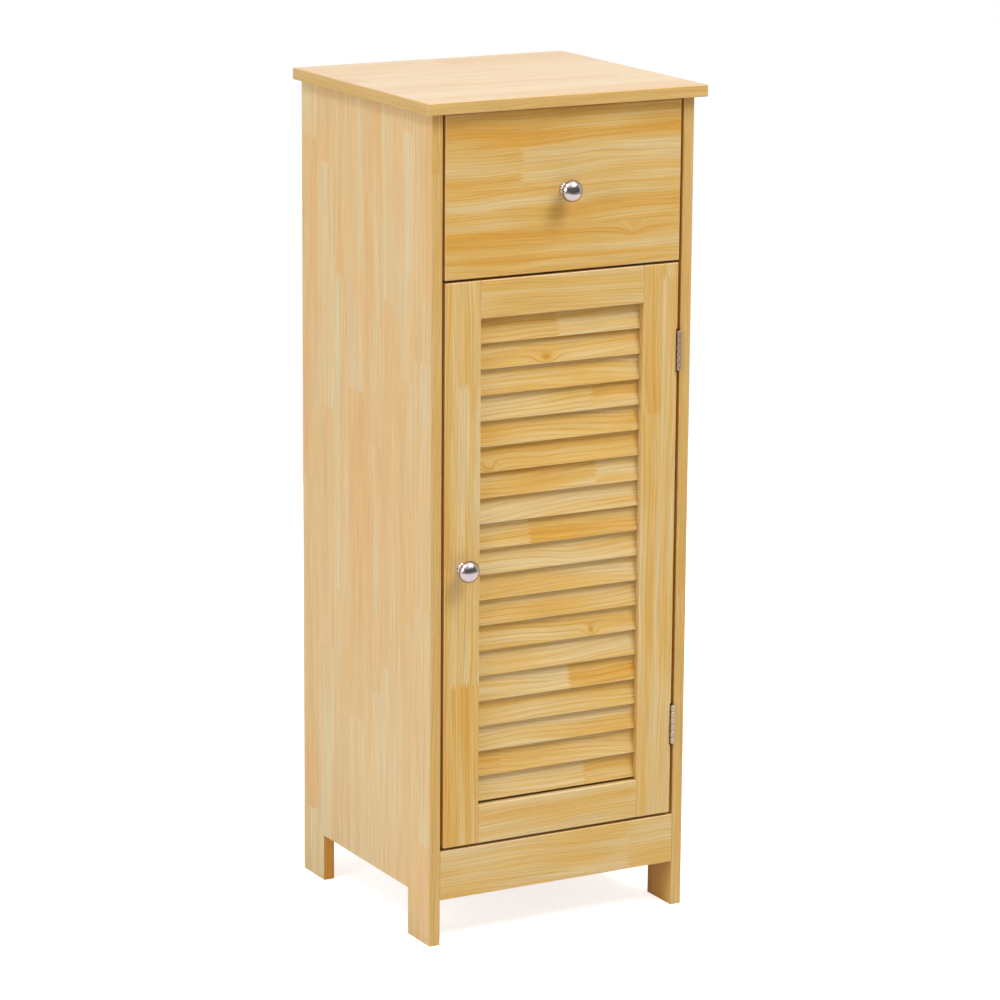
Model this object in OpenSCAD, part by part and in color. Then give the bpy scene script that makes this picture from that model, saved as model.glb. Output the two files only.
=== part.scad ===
// Slim free-standing bathroom cupboard: a drawer over a louvred door, on four board legs.
// Front is -Y, up is +Z. The origin is on the floor, midway across and midway front to back.

/* [Case] */
// Width over the two side panels
case_w = 300; // [260:5:360]
// Depth of the side panels
case_d = 290; // [260:5:340]
// Height from the floor to the top surface
total_h = 870; // [800:5:960]
// Thickness of the case boards
board_t = 12; // [11:0.5:15]
// Width of the eased edges on the boards
arris = 0.7; // [0.3:0.1:1.2]
// Depth of the rabbet and thickness of the back panel
back_t = 3; // [2.5:0.5:4]
// Width of the side panels' rabbet that holds the back panel
rabbet_w = 6; // [5:0.5:8]

/* [Top and base] */
// Thickness of the top board
top_t = 12; // [11:0.5:18]
// Overhang of the top at each side
top_side_overhang = 10; // [2:1:20]
// Overhang of the top at the front
top_front_overhang = 10; // [2:1:20]
// Depth of each leg, front to back
leg_d = 48; // [30:1:70]
// Height of the cut-out between the legs of a side panel
leg_h = 50; // [30:1:70]
// Height of the kick board's lower edge above the floor
kick_lift = 48; // [40:1:56]
// Height of the kick board
kick_h = 52; // [44:1:64]

/* [Fronts] */
// Height of the drawer front
drawer_front_h = 165; // [150:1:190]
// Thickness of the drawer front
drawer_front_t = 15; // [12:0.5:18]
// Thickness of the door frame
door_t = 16; // [15.5:0.5:20]
// Gap at each side of the drawer front
side_gap = 3; // [1.5:0.1:4]
// Gap beside the door at its lock side
lock_gap = 3.4; // [1.5:0.1:4]
// Gap beside the door at its hinge side
hinge_gap = 3.5; // [2.8:0.1:4]
// Gap between the drawer front and the top board
top_gap = 1.8; // [1:0.1:4]
// Gap between the drawer front and the door
row_gap = 2.8; // [1.5:0.1:5]
// Gap between the door and the kick board
sill_gap = 3; // [1.5:0.1:5]
// Width of the door's two stiles
stile_w = 40.6; // [38:0.2:50]
// Height of the door's top rail
top_rail_h = 38.6; // [34:0.2:50]
// Height of the door's bottom rail
bottom_rail_h = 40.4; // [34:0.2:50]

/* [Louvre] */
// Number of slats
slat_count = 19; // [16:1:19]
// Thickness of a slat
slat_t = 4.5; // [3.5:0.1:4.8]
// Lean of the slats away from upright, in degrees
slat_tilt = 12.5; // [12.5:0.1:13]
// How far the slats lie behind the face of the door
slat_recess = 4.5; // [3:0.1:4.6]
// How far each slat reaches up behind the one above it
slat_overlap = 3; // [1:0.2:3.2]
// Gap under the lowest slat
slat_foot_gap = 3; // [2:0.1:5]
// Depth of the housings that hold the slats' ends
slat_housing = 6; // [4:0.5:9]

/* [Knobs] */
// Diameter of a knob's head
knob_d = 23; // [20:0.5:28]
// How far a knob stands out
knob_reach = 23; // [21:0.5:28]
// Diameter of a knob's foot
knob_foot_d = 12.4; // [11:0.2:15]
// Diameter of a knob's neck
knob_neck_d = 8.4; // [7.4:0.2:10]
// Diameter of the screws that hold the knobs
knob_screw_d = 4; // [3:0.5:5]

/* [Hinges] */
// Length of a hinge
hinge_len = 41.5; // [40:0.5:60]
// Distance from the door's top to the upper hinge
hinge_inset = 70.4; // [50:0.2:120]
// Distance from the door's foot to the lower hinge
hinge_foot_inset = 75.4; // [50:0.2:120]
// Number of knuckles on a hinge
knuckle_count = 6; // [4:1:8]
// Thickness of a hinge leaf
leaf_t = 1; // [0.8:0.1:1.2]
// Width of a hinge leaf, from the pin's axis
leaf_w = 13; // [12:0.5:14]
// Diameter of a hinge pin
pin_d = 2.6; // [2.2:0.1:3]
// How far the pin's axis lies in front of the door's face
pin_proud = 1.4; // [1.2:0.1:2]

/* [Drawer box] */
// Height of the drawer's sides and back
box_h = 115; // [105:1:118]
// Room between the drawer box and the back panel
box_room = 22; // [16:1:40]
// Thickness of the drawer's sides and back
box_t = 12; // [11.5:0.5:13]
// Thickness of the drawer's bottom panel
floor_t = 3; // [2.5:0.5:4]
// Height of the bottom panel's groove above the sides' lower edge
floor_lift = 8; // [6:1:12]
// Gap between a side panel and the drawer's side
box_side_gap = 3; // [2:0.5:4]
// Gap between the divider and the drawer box
box_foot_gap = 5; // [3:0.5:7]
// Height of a drawer runner
runner_h = 16; // [12:1:20]
// Distance from the drawer front to the runners
runner_inset = 12; // [6:1:30]
// Distance from the runners' ends to the ends of the drawer's sides
runner_drop = 6; // [2:1:30]
// How far a runner reaches into the drawer side's groove
runner_bite = 6; // [4:0.5:7]

/* [Shelf] */
// Height of the shelf's underside above the bottom panel
shelf_lift = 286; // [200:1:360]
// Gap beside the shelf
shelf_gap = 1.6; // [1.2:0.1:3]
// Set-back of the shelf's front edge behind the door
shelf_setback = 14; // [10:1:40]
// Diameter of the shelf pins
shelf_pin_d = 5; // [4:0.5:6]
// Distance between the holes for the shelf pins
shelf_step = 32; // [25:1:50]
// Distance from the shelf's front edge to its front pins
shelf_pin_inset = 22; // [15:1:60]
// Distance from the shelf's rear edge to its rear pins
shelf_pin_rear_inset = 38; // [15:1:60]

/* [Fittings] */
// Diameter of the cam locks
cam_d = 12; // [10:0.5:13]
// Depth of the cam locks
cam_depth = 9.5; // [8:0.5:9.5]
// Distance from a board's end to the cam lock's centre
cam_setback = 24; // [20:1:30]
// Distance from the side panels' front and rear edges to the cam bolts
cam_inset = 55; // [40:1:65]
// Diameter of the dowels
dowel_d = 6; // [5:0.5:7]
// Length of the dowels
dowel_len = 24; // [20:1:30]
// Distance from the side panels' front and rear edges to the dowels
dowel_inset = 88; // [80:1:110]
// Diameter of the small screws
screw_d = 3; // [2.5:0.1:3.2]
// Length of the small screws
screw_len = 10; // [8:0.5:10]
// Width of the magnetic catch
catch_w = 38; // [36:1:40]
// Depth of the magnetic catch, front to back
catch_d = 16; // [14:1:20]
// Height of the magnetic catch
catch_h = 12; // [10:0.5:14]
// Thickness of the strike plate on the door
strike_t = 1.2; // [0.8:0.1:2]

/* [Clearances] */
// Gap round a joined piece, such as a tenon, slat end or inset panel
fit_gap = 0.1; // [0.05:0.01:0.15]
// Gap round a screw, dowel or pin in its hole
hole_gap = 0.05; // [0.03:0.01:0.08]
// Gap between a runner and its groove
runner_gap = 0.3; // [0.2:0.05:0.5]

/* [Hidden] */
$fn = 48;

// Widths, from the middle of the cupboard
case_half = case_w / 2;
inner_half = case_half - board_t;
drawer_edge = inner_half - side_gap;
lock_edge = lock_gap - inner_half;
hinge_edge = inner_half - hinge_gap;
lock_inner = lock_edge + stile_w;
hinge_inner = hinge_edge - stile_w;

// Heights, from the floor
case_h = total_h - top_t;
base_top = kick_lift + kick_h;
drawer_front_z = case_h - top_gap - drawer_front_h;
door_top = drawer_front_z - row_gap;
door_foot = base_top + sill_gap;
door_h = door_top - door_foot;
divider_mid = (drawer_front_z + door_top) / 2;
divider_top = divider_mid + board_t / 2;
divider_foot = divider_mid - board_t / 2;
shelf_foot = base_top + shelf_lift;

// Depths, from the front edges of the side panels
back_face = case_d - back_t;
divider_front = max(door_t, drawer_front_t) + 1;
front_reach = max(knob_reach, top_front_overhang);
middle_y = (case_d - front_reach) / 2;

// Door frame and louvre
opening_top = door_top - top_rail_h;
opening_foot = door_foot + bottom_rail_h;
slat_pitch = (opening_top - opening_foot - slat_foot_gap) / slat_count;
slat_w = (slat_pitch + slat_overlap) / cos(slat_tilt);
tenon_len = 14;
tenon_t = 5;
tenon_shoulder = 8;

// Knobs
knob_x = (lock_edge + lock_inner) / 2;
door_knob_z = door_foot + door_h / 2;
drawer_knob_z = drawer_front_z + drawer_front_h / 2;
knob_bore = 10;
knob_bite = 8;

// Hinges
pin_r = pin_d / 2;
knuckle_r = pin_r + hole_gap + leaf_t;
hinge_x = inner_half - knuckle_r;
hinge_y = -pin_proud;
hinge_foots = [door_foot + hinge_foot_inset, door_top - hinge_inset - hinge_len];
knuckle_len = hinge_len / knuckle_count;
knuckle_play = 0.4;
knuckle_ease = 0.4;
hinge_screw_y = hinge_y + leaf_w * 0.6;
hinge_screw_dz = hinge_len * 0.31;
mortise_play = 1.8;
knuckle_relief = 0.5;

// Drawer box
box_half = inner_half - box_side_gap;
box_inner = box_half - box_t;
box_foot = divider_top + box_foot_gap;
box_back = back_face - box_room;
box_len = box_back - drawer_front_t;
runner_mid = box_foot + box_h / 2;
runner_front = drawer_front_t + runner_inset;
runner_back = box_back - runner_drop;
runner_len = runner_back - runner_front;
runner_out = box_side_gap + runner_bite;
floor_bite = 5;
box_bolt_inset = 25;
box_bolt_zs = [box_foot + box_bolt_inset, box_foot + box_h - box_bolt_inset];
box_screw_inset = 20;
box_screw_zs = [box_foot + box_screw_inset, box_foot + box_h - box_screw_inset];
box_screw_len = 30;
box_screw_d = 3.5;

// Fittings
bolt_d = 5;
bolt_bite = 8;
bolt_shank_d = 5;
bolt_neck_d = 3.2;
bolt_head_d = 5.4;
bolt_hole_d = 6;
cam_slot = 6.4;
cam_ys = [cam_inset, case_d - cam_inset];
dowel_bite = 8;
dowel_ys = [dowel_inset, case_d - dowel_inset];
dowel_end_gap = 0.5;
kick_dowel_inset = 12;
kick_dowel_zs = [kick_lift + kick_dowel_inset, base_top - kick_dowel_inset];
shelf_front = divider_front + shelf_setback;
shelf_rear_gap = 2;
shelf_rear = back_face - shelf_rear_gap;
shelf_pin_ys = [shelf_front + shelf_pin_inset, shelf_rear - shelf_pin_rear_inset];
shelf_pin_bite = 8;
shelf_pin_reach = 9;
shelf_pin_z = shelf_foot - shelf_pin_d / 2;
runner_screw_inset = 26;
runner_screw_ys = [runner_front + runner_screw_inset, runner_back - runner_screw_inset];
runner_screw_seat = 3;
back_screw_rows = 5;
back_screw_foot = base_top + board_t;
back_screw_head = case_h - 20;
back_screw_step = (back_screw_head - back_screw_foot) / (back_screw_rows - 1);
back_screw_zs = [for (k = [0 : back_screw_rows - 1]) back_screw_foot + k * back_screw_step];
back_screw_x = 62;
catch_x = knob_x;
catch_front = door_t + strike_t + 0.3;
catch_ear_t = 3;
catch_ear_w = 8;
magnet_w = catch_w - 2 * catch_ear_w - 3;
magnet_h = 5;
magnet_d = 9;
magnet_foot = divider_foot - (catch_h + magnet_h) / 2;
strike_w = 30;
strike_h = 12;
strike_screw_dx = 11;

function slat_name(i) = str(i < 10 ? "slat_0" : "slat_", i);

function slat_z(i) = opening_top - i * slat_pitch;

pine = [0.86, 0.71, 0.46];
pale_pine = [0.88, 0.75, 0.56];
slat_pine = [0.84, 0.68, 0.41];
board_brown = [0.62, 0.47, 0.33];
steel = [0.72, 0.72, 0.73];
nickel = [0.8, 0.79, 0.77];
white_plastic = [0.92, 0.92, 0.9];
beech = [0.8, 0.63, 0.42];

// Moves what is drawn from the front edge of the side panels to the object's own origin.
module place() {
    translate([0, -middle_y, 0]) children();
}

// Rectangle with eased corners.
module eased_rect(w, h, ease) {
    polygon([[ease, 0], [w - ease, 0], [w, ease], [w, h - ease],
             [w - ease, h], [ease, h], [0, h - ease], [0, ease]]);
}

// Runs a flat outline, drawn in depth and height, across the width.
module across(w) {
    rotate([90, 0, 90]) linear_extrude(w) children();
}

// Board with all its long edges eased, standing at its lowest corner.
module eased_board(w, d, h) {
    intersection() {
        linear_extrude(h) eased_rect(w, d, arris);
        across(w) eased_rect(d, h, arris);
        translate([0, d, 0]) rotate([90, 0, 0]) linear_extrude(d) eased_rect(w, h, arris);
    }
}

// Draws a piece on both sides of the cupboard.
module both_sides() {
    children();
    mirror([1, 0, 0]) children();
}

// Small countersunk screw: its head is flush at z = 0 and its point is below.
module screw(d, len, gap = 0) {
    head_h = d * 0.5;
    translate([0, 0, -head_h]) cylinder(h = head_h, r1 = d / 2 + gap, r2 = d + gap, $fn = 32);
    translate([0, 0, -len]) cylinder(h = len - head_h + 0.01, r = d / 2 + gap, $fn = 32);
}

// The same screw with its cross recess.
module cross_screw(d, len) {
    recess_w = d * 0.22;
    recess_len = d * 1.1;
    recess_h = d * 0.28;
    difference() {
        screw(d, len);
        translate([-recess_len / 2, -recess_w / 2, -recess_h]) cube([recess_len, recess_w, recess_h + 1]);
        translate([-recess_w / 2, -recess_len / 2, -recess_h]) cube([recess_w, recess_len, recess_h + 1]);
    }
}

// Hole for a small screw, a little deeper than the screw is long.
module screw_hole(d, len) {
    screw(d, len + 0.5, hole_gap);
    cylinder(h = 2, r = d + hole_gap, $fn = 32);
}

// Cam bolt along +Z: its thread is below the joint at z = 0, its head is in the cam lock above.
module cam_bolt() {
    neck_from = cam_setback - cam_d / 2 + 1;
    head_from = cam_setback - 1.5;
    head_to = cam_setback + bolt_head_d / 2 - 0.5;
    rotate_extrude() polygon([
        [0, -bolt_bite], [bolt_d / 2 - 0.6, -bolt_bite], [bolt_d / 2, -bolt_bite + 1], [bolt_d / 2, 0],
        [bolt_shank_d / 2, 0], [bolt_shank_d / 2, neck_from - 0.8], [bolt_neck_d / 2, neck_from],
        [bolt_neck_d / 2, head_from], [bolt_head_d / 2, head_from + 0.6], [bolt_head_d / 2, head_to - 0.8],
        [bolt_head_d / 2 - 0.8, head_to], [0, head_to]]);
}

// Cam lock across the bolt: a drum that opens at the board's face, with the bolt's slot in it.
module cam_lock(half_t) {
    slot_r = cam_slot / 2;
    cross_w = 1.2;
    cross_len = cam_d * 0.72;
    cross_t = 1;
    translate([-half_t, 0, cam_setback]) difference() {
        rotate([0, 90, 0]) cylinder(h = cam_depth, d = cam_d);
        translate([half_t, 0, -cam_d]) cylinder(h = cam_d + slot_r, r = slot_r);
        translate([-cross_t, -cross_w / 2, -cross_len / 2]) cube([2 * cross_t, cross_w, cross_len]);
        translate([-cross_t, -cross_len / 2, -cross_w / 2]) cube([2 * cross_t, cross_len, cross_w]);
    }
}

// Everything that is bored away for one cam bolt and its lock.
module cam_bores(half_t) {
    translate([0, 0, -bolt_bite - dowel_end_gap])
        cylinder(h = bolt_bite + dowel_end_gap, d = bolt_d + 2 * hole_gap);
    cylinder(h = cam_setback, d = bolt_hole_d);
    translate([-half_t - 1, 0, cam_setback]) rotate([0, 90, 0])
        cylinder(h = cam_depth + 1 + hole_gap, d = cam_d + 2 * hole_gap);
}

// Dowel along Z across the joint at z = 0, and the hole for it.
module dowel() {
    ease = 0.8;
    r = dowel_d / 2;
    top = dowel_len - dowel_bite;
    rotate_extrude() polygon([[0, -dowel_bite], [r - ease, -dowel_bite], [r, ease - dowel_bite],
                              [r, top - ease], [r - ease, top], [0, top]]);
}

module dowel_hole() {
    translate([0, 0, -dowel_bite - dowel_end_gap])
        cylinder(h = dowel_len + 2 * dowel_end_gap, d = dowel_d + 2 * hole_gap);
}

// Places on the right-hand joints of the level boards with the side panel, and of the side panel
// with the top, each with +Z pointing into the board that holds the cam lock.
module level_joints(ys) {
    for (z = [base_top - board_t / 2, divider_mid], y = ys)
        translate([inner_half, y, z]) rotate([0, -90, 0]) children();
}

module top_joints(ys) {
    for (y = ys) translate([inner_half + board_t / 2, y, case_h]) rotate([180, 0, 0]) children();
}

module kick_joints() {
    for (z = kick_dowel_zs) translate([inner_half, board_t / 2, z]) rotate([0, -90, 0]) children();
}

// All bores of the case joints, on both sides.
module case_bores() {
    both_sides() {
        level_joints(cam_ys) cam_bores(board_t / 2);
        top_joints(cam_ys) cam_bores(board_t / 2);
        level_joints(dowel_ys) dowel_hole();
        top_joints(dowel_ys) dowel_hole();
        kick_joints() dowel_hole();
    }
}

// Places of the small screws in the case, each with +Z pointing out of the screw's head.
module hinge_case_screws() {
    for (z = hinge_foots, dz = [-hinge_screw_dz, hinge_screw_dz])
        translate([inner_half - leaf_t, hinge_screw_y, z + hinge_len / 2 + dz])
            rotate([0, -90, 0]) children();
}

module runner_case_screws() {
    for (y = runner_screw_ys)
        translate([inner_half - runner_screw_seat, y, runner_mid]) rotate([0, -90, 0]) children();
}

module catch_case_screws() {
    ear_mid = (catch_w - catch_ear_w) / 2;
    for (dx = [-ear_mid, ear_mid])
        translate([catch_x + dx, catch_front + catch_d / 2, divider_foot - catch_ear_t])
            rotate([180, 0, 0]) children();
}

module back_screws() {
    both_sides()
        for (z = back_screw_zs)
            translate([inner_half + rabbet_w / 2, case_d, z]) rotate([-90, 0, 0]) children();
    for (x = [-back_screw_x, back_screw_x], z = [base_top - board_t / 2, divider_mid])
        translate([x, case_d, z]) rotate([-90, 0, 0]) children();
}

// Right-hand side panel: a board with a square cut-out at its foot that leaves two legs,
// a rabbet for the back panel, and the bores of its joints.
module side_board() {
    outline = [[0, 0], [leg_d, 0], [leg_d, leg_h], [case_d - leg_d, leg_h],
               [case_d - leg_d, 0], [case_d, 0], [case_d, case_h], [0, case_h]];
    difference() {
        translate([inner_half, 0, 0]) intersection() {
            across(board_t) polygon(outline);
            linear_extrude(case_h) eased_rect(board_t, case_d, arris);
        }
        translate([inner_half - 1, back_face, base_top - board_t]) cube([rabbet_w + 1, back_t + 1, case_h]);
        case_bores();
        runner_case_screws() screw_hole(screw_d, screw_len);
        back_screws() screw_hole(screw_d, screw_len);
        for (y = shelf_pin_ys, k = [-1 : 1])
            translate([inner_half - 1, y, shelf_pin_z + k * shelf_step]) rotate([0, 90, 0])
                cylinder(h = shelf_pin_bite + 1 + hole_gap, d = shelf_pin_d + 2 * hole_gap);
    }
}

module left_side_panel() {
    color(pale_pine) place() mirror([1, 0, 0]) side_board();
}

module right_side_panel() {
    color(pale_pine) place() difference() {
        side_board();
        hinge_case_screws() screw_hole(screw_d, screw_len);
    }
}

// Top board, resting on the side panels and flush with them at the back.
module top_panel() {
    top_w = case_w + 2 * top_side_overhang;
    color(pale_pine) place() difference() {
        translate([-top_w / 2, -top_front_overhang, case_h])
            eased_board(top_w, case_d + top_front_overhang, top_t);
        case_bores();
    }
}

// Bottom of the cupboard, behind the kick board and flush with its top.
module bottom_panel() {
    color(pine) place() difference() {
        translate([-inner_half, board_t, base_top - board_t])
            cube([2 * inner_half, back_face - board_t, board_t]);
        case_bores();
        back_screws() screw_hole(screw_d, screw_len);
    }
}

// Level board between the drawer and the compartment behind the door.
module drawer_divider() {
    color(pine) place() difference() {
        translate([-inner_half, divider_front, divider_foot])
            cube([2 * inner_half, back_face - divider_front, board_t]);
        case_bores();
        catch_case_screws() screw_hole(screw_d, screw_len);
        back_screws() screw_hole(screw_d, screw_len);
    }
}

// Thin hardboard back, let into the side panels' rabbets.
module back_panel() {
    half = inner_half + rabbet_w - fit_gap;
    foot = base_top - board_t + fit_gap;
    color(board_brown) place() difference() {
        translate([-half, back_face, foot]) cube([2 * half, back_t, case_h - foot]);
        back_screws() screw_hole(screw_d, screw_len);
    }
}

// Board across the foot of the front, between the front legs.
module kick_board() {
    color(pine) place() difference() {
        translate([-inner_half, 0, kick_lift]) eased_board(2 * inner_half, board_t, kick_h);
        case_bores();
    }
}

// Loose shelf, resting on four pins.
module shelf() {
    half = inner_half - shelf_gap;
    color(pine) place() translate([-half, shelf_front, shelf_foot])
        eased_board(2 * half, shelf_rear - shelf_front, board_t);
}

// Four pins in the side panels' middle holes, each with a collar against the panel.
module shelf_pins() {
    r = shelf_pin_d / 2;
    collar_r = r + 1;
    collar_t = shelf_gap - 0.6;
    color(steel) place() both_sides()
        for (y = shelf_pin_ys)
            translate([inner_half, y, shelf_pin_z]) rotate([0, -90, 0]) rotate_extrude()
                polygon([[0, -shelf_pin_bite], [r - 0.5, -shelf_pin_bite], [r, 0.5 - shelf_pin_bite], [r, 0],
                         [collar_r, 0], [collar_r, collar_t], [r, collar_t], [r, shelf_pin_reach - 0.5],
                         [r - 0.5, shelf_pin_reach], [0, shelf_pin_reach]]);
}

// Steel bolts that the cam locks draw in, at the case's board joints.
module cam_bolts() {
    color(steel) place() both_sides() {
        level_joints(cam_ys) cam_bolt();
        top_joints(cam_ys) cam_bolt();
    }
}

module cam_locks() {
    color(steel) place() both_sides() {
        level_joints(cam_ys) cam_lock(board_t / 2);
        top_joints(cam_ys) cam_lock(board_t / 2);
    }
}

module dowels() {
    color(beech) place() both_sides() {
        level_joints(dowel_ys) dowel();
        top_joints(dowel_ys) dowel();
        kick_joints() dowel();
    }
}

module back_panel_screws() {
    color(steel) place() back_screws() cross_screw(screw_d, screw_len);
}

// Small screws that hold the drawer runners, the hinges and the catch to the case.
module case_screws() {
    color(steel) place() {
        both_sides() runner_case_screws() cross_screw(screw_d, screw_len);
        hinge_case_screws() cross_screw(screw_d, screw_len);
        catch_case_screws() cross_screw(screw_d, screw_len);
    }
}

// Plastic strip on the right side panel, which carries the drawer in the groove of its side.
module runner() {
    lead = 2;
    difference() {
        translate([inner_half - runner_out, runner_front, runner_mid - runner_h / 2])
            linear_extrude(runner_h)
                polygon([[lead, 0], [runner_out, 0], [runner_out, runner_len], [lead, runner_len],
                         [0, runner_len - lead], [0, lead]]);
        runner_case_screws() {
            screw_hole(screw_d, screw_len);
            cylinder(h = runner_out, r = screw_d + 0.5, $fn = 32);
        }
    }
}

module left_drawer_runner() {
    color(white_plastic) place() mirror([1, 0, 0]) runner();
}

module right_drawer_runner() {
    color(white_plastic) place() runner();
}

// One knuckle of a hinge, with the worn edges of rolled steel.
module knuckle(h) {
    rotate_extrude()
        polygon([
            [0, 0],
            [knuckle_r - knuckle_ease, 0],
            [knuckle_r, knuckle_ease],
            [knuckle_r, h - knuckle_ease],
            [knuckle_r - knuckle_ease, h],
            [0, h]
        ]);
}

// One leaf of a butt hinge, with its plate at +X of the pin. The knuckles whose number has the
// given remainder belong to it, and its plate is cut back beside the other leaf's knuckles.
module hinge_leaf(remainder) {
    difference() {
        union() {
            translate([knuckle_r - leaf_t, 0, 0]) cube([leaf_t, leaf_w, hinge_len]);
            for (k = [0 : knuckle_count - 1])
                if (k % 2 == remainder)
                    translate([0, 0, k * knuckle_len + knuckle_play / 2])
                        knuckle(knuckle_len - knuckle_play);
        }
        for (k = [0 : knuckle_count - 1])
            if (k % 2 != remainder)
                translate([-knuckle_r, -knuckle_r, k * knuckle_len - knuckle_play / 2])
                    cube([3 * knuckle_r, 2 * knuckle_r + 0.3, knuckle_len + knuckle_play]);
        translate([0, 0, -1]) cylinder(h = hinge_len + 2, r = pin_r + hole_gap);
    }
}

module fixed_leaf(foot) {
    difference() {
        translate([hinge_x, hinge_y, foot]) hinge_leaf(0);
        hinge_case_screws() screw_hole(screw_d, screw_len);
    }
}

module upper_hinge_fixed_leaf() {
    color(steel) place() fixed_leaf(hinge_foots[1]);
}

module lower_hinge_fixed_leaf() {
    color(steel) place() fixed_leaf(hinge_foots[0]);
}

// Block under the divider, with an ear at each end for its screws and a pocket for the magnet.
module magnet_catch() {
    body_w = catch_w - 2 * catch_ear_w;
    color(white_plastic) place() difference() {
        translate([catch_x - catch_w / 2, catch_front, divider_foot]) {
            translate([0, 0, -catch_ear_t]) cube([catch_w, catch_d, catch_ear_t]);
            translate([catch_ear_w, 0, -catch_h]) cube([body_w, catch_d, catch_h]);
        }
        translate([catch_x - magnet_w / 2 - fit_gap, catch_front - 1, magnet_foot - fit_gap])
            cube([magnet_w + 2 * fit_gap, magnet_d + 1 + fit_gap, magnet_h + 2 * fit_gap]);
        catch_case_screws() screw_hole(screw_d, screw_len);
    }
}

module catch_magnet() {
    color([0.3, 0.3, 0.31]) place()
        translate([catch_x - magnet_w / 2, catch_front, magnet_foot])
            cube([magnet_w, magnet_d, magnet_h]);
}

// Places of the drawer's cam bolts, from the back of its front into its right-hand side.
module drawer_joints() {
    for (z = box_bolt_zs)
        translate([box_half - box_t / 2, drawer_front_t, z]) rotate([-90, 0, 0]) children();
}

module drawer_back_screws() {
    for (z = box_screw_zs)
        translate([box_half, box_back - box_t / 2, z]) rotate([0, 90, 0]) children();
}

// Groove for the drawer's bottom panel, cut from the front, sides and back alike.
module floor_groove() {
    half = box_inner + floor_bite + fit_gap;
    front = drawer_front_t - floor_bite - fit_gap;
    translate([-half, front, box_foot + floor_lift])
        cube([2 * half, box_back - box_t + floor_bite + fit_gap - front, floor_t + fit_gap]);
}

module drawer_front() {
    color(pine) place() difference() {
        translate([-drawer_edge, 0, drawer_front_z])
            eased_board(2 * drawer_edge, drawer_front_t, drawer_front_h);
        both_sides() drawer_joints() cam_bores(box_t / 2);
        floor_groove();
        translate([0, -1, drawer_knob_z]) rotate([-90, 0, 0])
            cylinder(h = drawer_front_t + 2, d = knob_screw_d + 2 * hole_gap);
    }
}

// Right-hand side of the drawer box, grooved for its runner and for the bottom panel.
module drawer_side() {
    groove_half = runner_h / 2 + runner_gap;
    groove_depth = runner_bite + runner_gap;
    difference() {
        translate([box_inner, drawer_front_t, box_foot]) cube([box_t, box_len, box_h]);
        translate([box_half - groove_depth, runner_front - runner_gap, runner_mid - groove_half])
            cube([groove_depth + 1, box_len, 2 * groove_half]);
        floor_groove();
        drawer_joints() cam_bores(box_t / 2);
        drawer_back_screws() screw_hole(box_screw_d, box_screw_len);
    }
}

module drawer_left_side() {
    color(pale_pine) place() mirror([1, 0, 0]) drawer_side();
}

module drawer_right_side() {
    color(pale_pine) place() drawer_side();
}

module drawer_back() {
    color(pale_pine) place() difference() {
        translate([-box_inner, box_back - box_t, box_foot]) cube([2 * box_inner, box_t, box_h]);
        floor_groove();
        both_sides() drawer_back_screws() screw_hole(box_screw_d, box_screw_len);
    }
}

module drawer_bottom() {
    half = box_inner + floor_bite;
    front = drawer_front_t - floor_bite;
    color(board_brown) place() translate([-half, front, box_foot + floor_lift])
        cube([2 * half, box_back - box_t + floor_bite - front, floor_t]);
}

module drawer_cam_bolts() {
    color(steel) place() both_sides() drawer_joints() cam_bolt();
}

module drawer_cam_locks() {
    color(steel) place() both_sides() drawer_joints() cam_lock(box_t / 2);
}

module drawer_screws() {
    color(steel) place() both_sides() drawer_back_screws() cross_screw(box_screw_d, box_screw_len);
}

// Turned metal knob, along -Y from its foot, bored for its screw. The foot flares, the neck is
// slim, and the head is a low dome over a rounded rim.
module knob() {
    foot_r = knob_foot_d / 2;
    neck_r = knob_neck_d / 2;
    head_r = knob_d / 2;
    foot_t = 1.2;
    neck_from = 6;
    neck_to = 9;
    rim_from = 13;
    rim_to = 16;
    rim_ease_r = 0.6;
    rim_ease_y = 0.8;
    flare = [for (a = [0 : 15 : 90])
        [foot_r - (foot_r - neck_r) * sin(a), foot_t + (neck_from - foot_t) * (1 - cos(a))]];
    under = [for (a = [0 : 15 : 90])
        [neck_r + (head_r - rim_ease_r - neck_r) * (1 - cos(a)), neck_to + (rim_from - neck_to) * sin(a)]];
    dome = [for (a = [0 : 10 : 80])
        [head_r * cos(a), rim_to + (knob_reach - rim_to) * sin(a)]];
    rotate([90, 0, 0]) rotate_extrude($fn = 64) difference() {
        polygon(concat([[0, 0], [foot_r, 0]], flare, under, [[head_r, rim_from + rim_ease_y]],
                       dome, [[0, knob_reach]]));
        square([knob_screw_d / 2 + hole_gap, knob_bore]);
    }
}

// Pan-head screw along -Y from the back of a front, into the knob.
module knob_screw(front_t) {
    head_r = knob_screw_d * 0.95;
    head_t = knob_screw_d * 0.55;
    head_ease = 0.6;
    cross_w = 0.8;
    cross_len = head_r * 1.2;
    cross_t = 1;
    translate([0, front_t, 0]) rotate([90, 0, 0]) {
        cylinder(h = front_t + knob_bite, d = knob_screw_d);
        translate([0, 0, -head_t]) difference() {
            cylinder(h = head_t, r1 = head_r - head_ease, r2 = head_r);
            translate([-cross_len / 2, -cross_w / 2, -cross_t]) cube([cross_len, cross_w, 2 * cross_t]);
            translate([-cross_w / 2, -cross_len / 2, -cross_t]) cube([cross_w, cross_len, 2 * cross_t]);
        }
    }
}

module drawer_knob() {
    color(nickel) place() translate([0, 0, drawer_knob_z]) knob();
}

module drawer_knob_screw() {
    color(steel) place() translate([0, 0, drawer_knob_z]) knob_screw(drawer_front_t);
}

module door_knob() {
    color(nickel) place() translate([knob_x, 0, door_knob_z]) knob();
}

module door_knob_screw() {
    color(steel) place() translate([knob_x, 0, door_knob_z]) knob_screw(door_t);
}

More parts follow.
